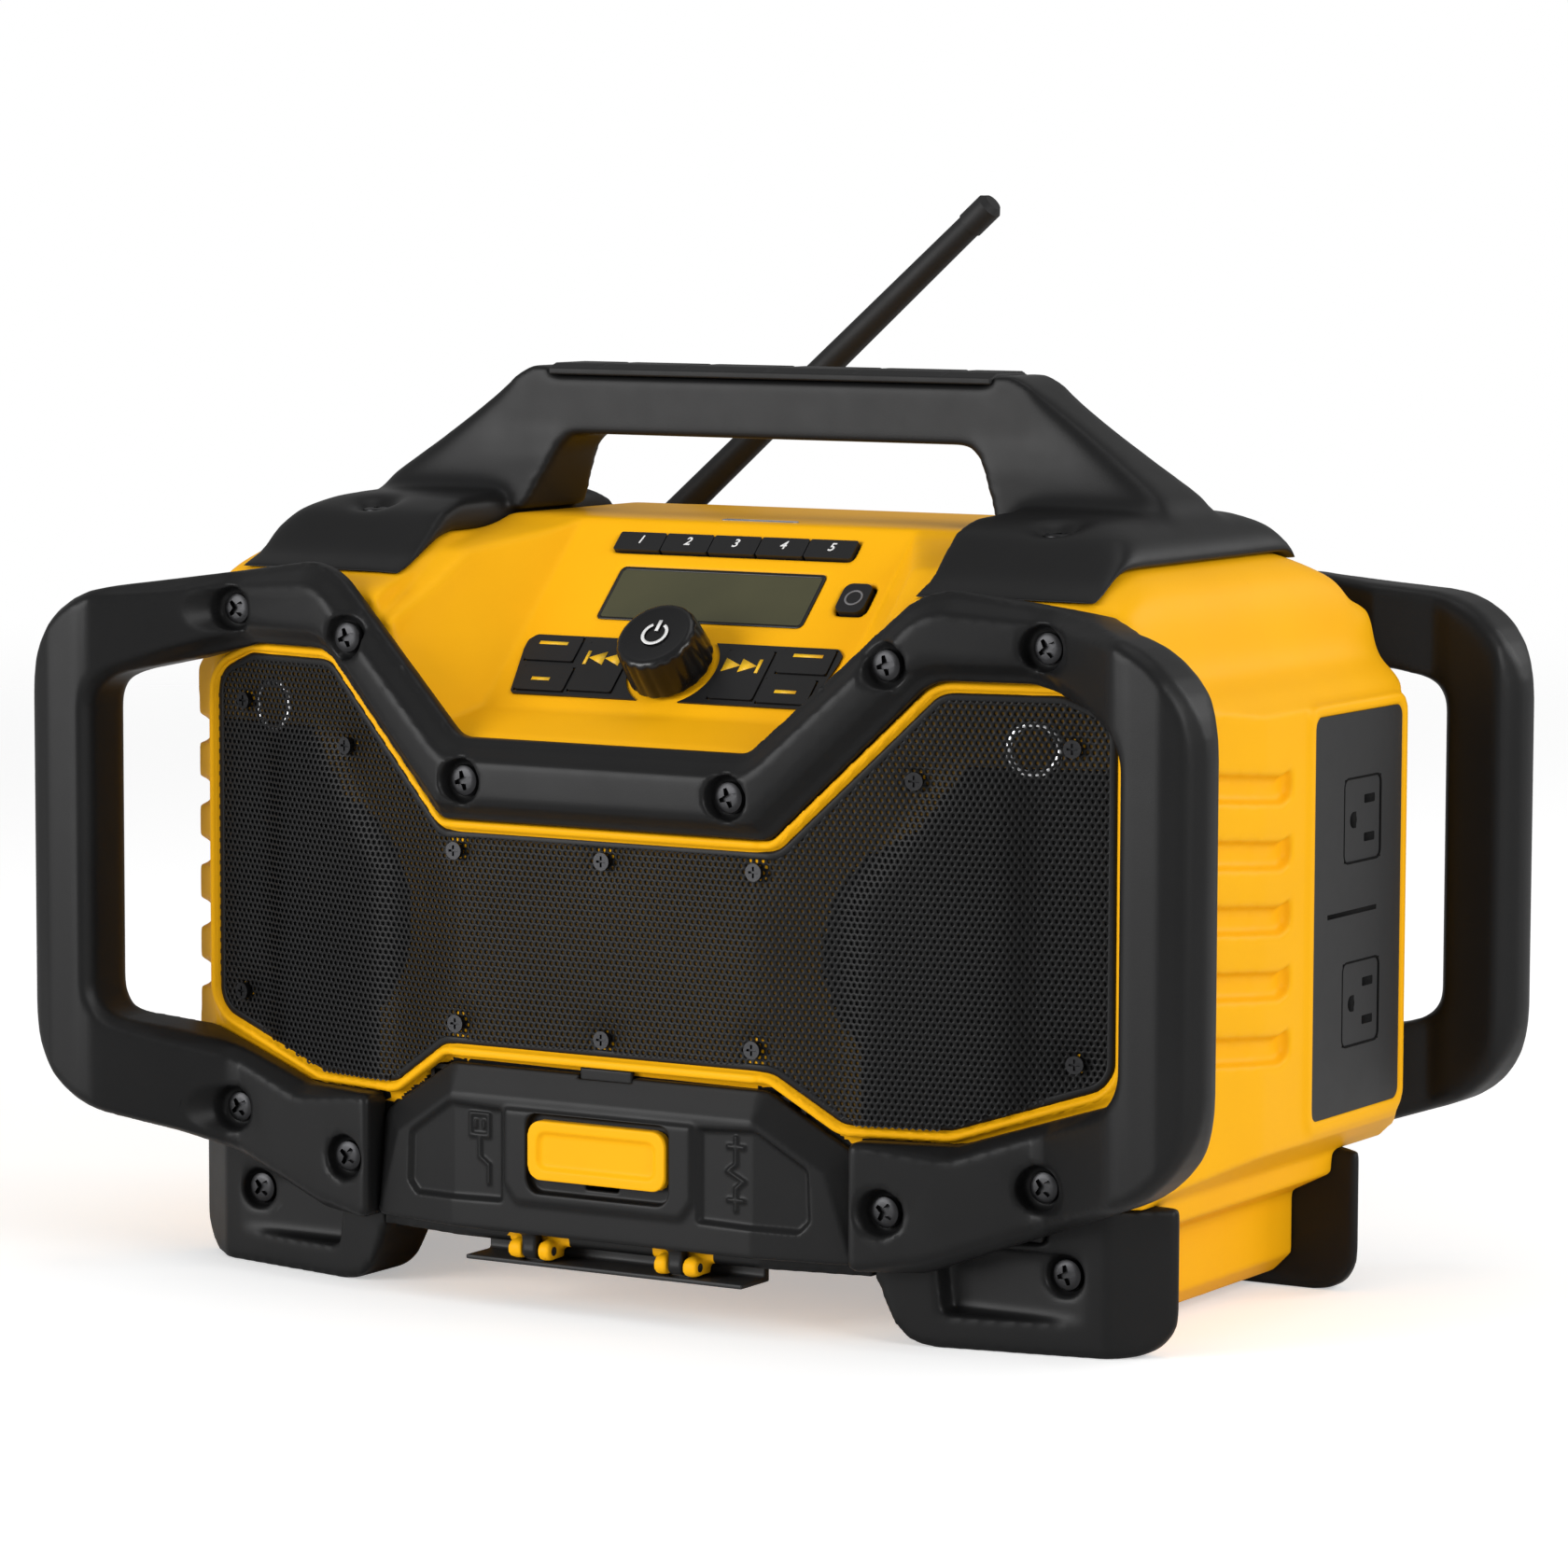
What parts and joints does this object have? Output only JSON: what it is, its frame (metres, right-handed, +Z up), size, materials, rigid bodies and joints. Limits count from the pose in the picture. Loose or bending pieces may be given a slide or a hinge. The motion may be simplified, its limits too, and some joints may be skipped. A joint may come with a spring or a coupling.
{
  "type": "jobsite radio",
  "caption": "Rugged jobsite radio: yellow housing in a black roll cage, with a handle, storage door, mains outlets, battery bay and folding antenna.",
  "frame": {"origin": "on the ground under the middle of the radio, halfway between the front and rear side bars", "axes": "+X to the right as seen from the front, +Y to the rear, +Z up"},
  "size_m": [0.443, 0.262, 0.3631],
  "materials": {
    "yellow_shell": "satin moulded ABS, fine grain",
    "black_cage": "impact-resistant textured plastic",
    "black_plastic": "fine textured black plastic",
    "soft_rubber": "soft rubber",
    "grille_metal": "black powder-coated perforated sheet",
    "screw_steel": "dark zinc-plated steel",
    "bright_steel": "bright plated steel",
    "knob_gloss": "glossy black",
    "keypad": "semi-gloss black",
    "lcd_window": "clear tinted window",
    "lcd_module": "olive liquid crystal cell",
    "circuit_board": "green solder mask",
    "aluminium_fins": "extruded, plain",
    "iron_core": "laminated iron and ferrite",
    "speaker_cone": "pressed paper cone",
    "grey_lens": "smoked lens",
    "white_nylon": "moulded nylon"
  },
  "bodies": {
    "radio": {"front_housing": "yellow_shell", "rear_housing": "yellow_shell", "housing_gasket": "soft_rubber", "front_cage": "black_cage", "rear_cage": "black_cage", "top_handle": "black_cage", "handle_rubber": "soft_rubber", "feet": "black_cage", "speaker_grille": "grille_metal", "woofer_baskets": "black_plastic", "woofer_cones": "speaker_cone", "woofer_magnets": "iron_core", "tweeters": "black_plastic", "display_lens": "lcd_window", "display_module": "lcd_module", "keypad_bezel": "keypad", "keypad_board": "circuit_board", "main_board": "circuit_board", "heat_sink": "aluminium_fins", "charger_board": "circuit_board", "transformer": "iron_core", "encoder_body": "bright_steel", "sensor_lens": "grey_lens", "storage_bay": "black_plastic", "usb_port": "bright_steel", "aux_jack": "black_plastic", "door_seal": "soft_rubber", "hinge_pins": "bright_steel", "door_hinge_plate": "black_plastic", "outlet_panel": "black_plastic", "receptacles": "black_plastic", "battery_bay": "black_plastic", "battery_terminal": "black_plastic", "cord_gland": "soft_rubber", "cage_screws": "screw_steel", "grille_screws": "screw_steel", "fixing_screws": "screw_steel"},
    "preset_1": {"preset_1": "keypad"},
    "preset_2": {"preset_2": "keypad"},
    "preset_3": {"preset_3": "keypad"},
    "preset_4": {"preset_4": "keypad"},
    "preset_5": {"preset_5": "keypad"},
    "mute_key": {"mute_key": "keypad"},
    "tone_key": {"tone_key": "keypad"},
    "seek_back_key": {"seek_back_key": "keypad"},
    "seek_forward_key": {"seek_forward_key": "keypad"},
    "mode_key": {"mode_key": "keypad"},
    "clock_key": {"clock_key": "keypad"},
    "wireless_key": {"wireless_key": "keypad"},
    "knob_plunger": {"encoder_plunger": "white_nylon"},
    "knob": {"volume_knob": "knob_gloss", "encoder_shaft": "bright_steel"},
    "storage_door": {"storage_door": "black_cage"},
    "storage_latch": {"door_latch": "yellow_shell"},
    "battery_door": {"battery_door": "black_cage"},
    "battery_latch": {"battery_latch": "yellow_shell"},
    "antenna_base": {"antenna_knuckle": "black_plastic"},
    "antenna": {"antenna_rod": "soft_rubber"}
  },
  "joints": [
    {"name": "preset_1_press", "type": "slide", "parent": "radio", "child": "preset_1", "axis": [0, 0.6947, -0.7193], "range_m": [0, 0.001], "stiffness_N_per_m": 600, "springref_m": -0.0004},
    {"name": "preset_2_press", "type": "slide", "parent": "radio", "child": "preset_2", "axis": [0, 0.6947, -0.7193], "range_m": [0, 0.001], "stiffness_N_per_m": 600, "springref_m": -0.0004},
    {"name": "preset_3_press", "type": "slide", "parent": "radio", "child": "preset_3", "axis": [0, 0.6947, -0.7193], "range_m": [0, 0.001], "stiffness_N_per_m": 600, "springref_m": -0.0004},
    {"name": "preset_4_press", "type": "slide", "parent": "radio", "child": "preset_4", "axis": [0, 0.6947, -0.7193], "range_m": [0, 0.001], "stiffness_N_per_m": 600, "springref_m": -0.0004},
    {"name": "preset_5_press", "type": "slide", "parent": "radio", "child": "preset_5", "axis": [0, 0.6947, -0.7193], "range_m": [0, 0.001], "stiffness_N_per_m": 600, "springref_m": -0.0004},
    {"name": "mute_key_press", "type": "slide", "parent": "radio", "child": "mute_key", "axis": [0, 0.6947, -0.7193], "range_m": [0, 0.001], "stiffness_N_per_m": 600, "springref_m": -0.0004},
    {"name": "tone_key_press", "type": "slide", "parent": "radio", "child": "tone_key", "axis": [0, 0.6947, -0.7193], "range_m": [0, 0.001], "stiffness_N_per_m": 600, "springref_m": -0.0004},
    {"name": "seek_back_key_press", "type": "slide", "parent": "radio", "child": "seek_back_key", "axis": [0, 0.6947, -0.7193], "range_m": [0, 0.001], "stiffness_N_per_m": 600, "springref_m": -0.0004},
    {"name": "seek_forward_key_press", "type": "slide", "parent": "radio", "child": "seek_forward_key", "axis": [0, 0.6947, -0.7193], "range_m": [0, 0.001], "stiffness_N_per_m": 600, "springref_m": -0.0004},
    {"name": "mode_key_press", "type": "slide", "parent": "radio", "child": "mode_key", "axis": [0, 0.6947, -0.7193], "range_m": [0, 0.001], "stiffness_N_per_m": 600, "springref_m": -0.0004},
    {"name": "clock_key_press", "type": "slide", "parent": "radio", "child": "clock_key", "axis": [0, 0.6947, -0.7193], "range_m": [0, 0.001], "stiffness_N_per_m": 600, "springref_m": -0.0004},
    {"name": "wireless_key_press", "type": "slide", "parent": "radio", "child": "wireless_key", "axis": [0, 0.6947, -0.7193], "range_m": [0, 0.001], "stiffness_N_per_m": 600, "springref_m": -0.0004},
    {"name": "knob_press", "type": "slide", "parent": "radio", "child": "knob_plunger", "axis": [0, 0.6947, -0.7193], "range_m": [0, 0.001], "stiffness_N_per_m": 1500, "springref_m": -0.0004},
    {"name": "knob_turn", "type": "hinge", "parent": "knob_plunger", "child": "knob", "pos_m": [0, -0.06975, 0.20913], "axis": [0, -0.6947, 0.7193], "continuous": true},
    {"name": "storage_door_hinge", "type": "hinge", "parent": "radio", "child": "storage_door", "pos_m": [0, -0.111, 0.0205], "axis": [1, 0, 0], "range_deg": [0, 90]},
    {"name": "storage_latch_slide", "type": "slide", "parent": "storage_door", "child": "storage_latch", "axis": [0, 0, -1], "range_m": [0, 0.004]},
    {"name": "battery_door_hinge", "type": "hinge", "parent": "radio", "child": "battery_door", "pos_m": [0, 0.101, 0.076], "axis": [-1, 0, 0], "range_deg": [0, 100]},
    {"name": "battery_latch_slide", "type": "slide", "parent": "battery_door", "child": "battery_latch", "axis": [0, 0, -1], "range_m": [0, 0.004]},
    {"name": "antenna_swivel", "type": "hinge", "parent": "radio", "child": "antenna_base", "pos_m": [-0.11, 0.0885, 0.23], "axis": [0, 0, 1], "range_deg": [0, 180]},
    {"name": "antenna_tilt", "type": "hinge", "parent": "antenna_base", "child": "antenna", "pos_m": [-0.11, 0.0885, 0.238], "axis": [0, -1, 0], "range_deg": [-41, 49]}
  ]
}
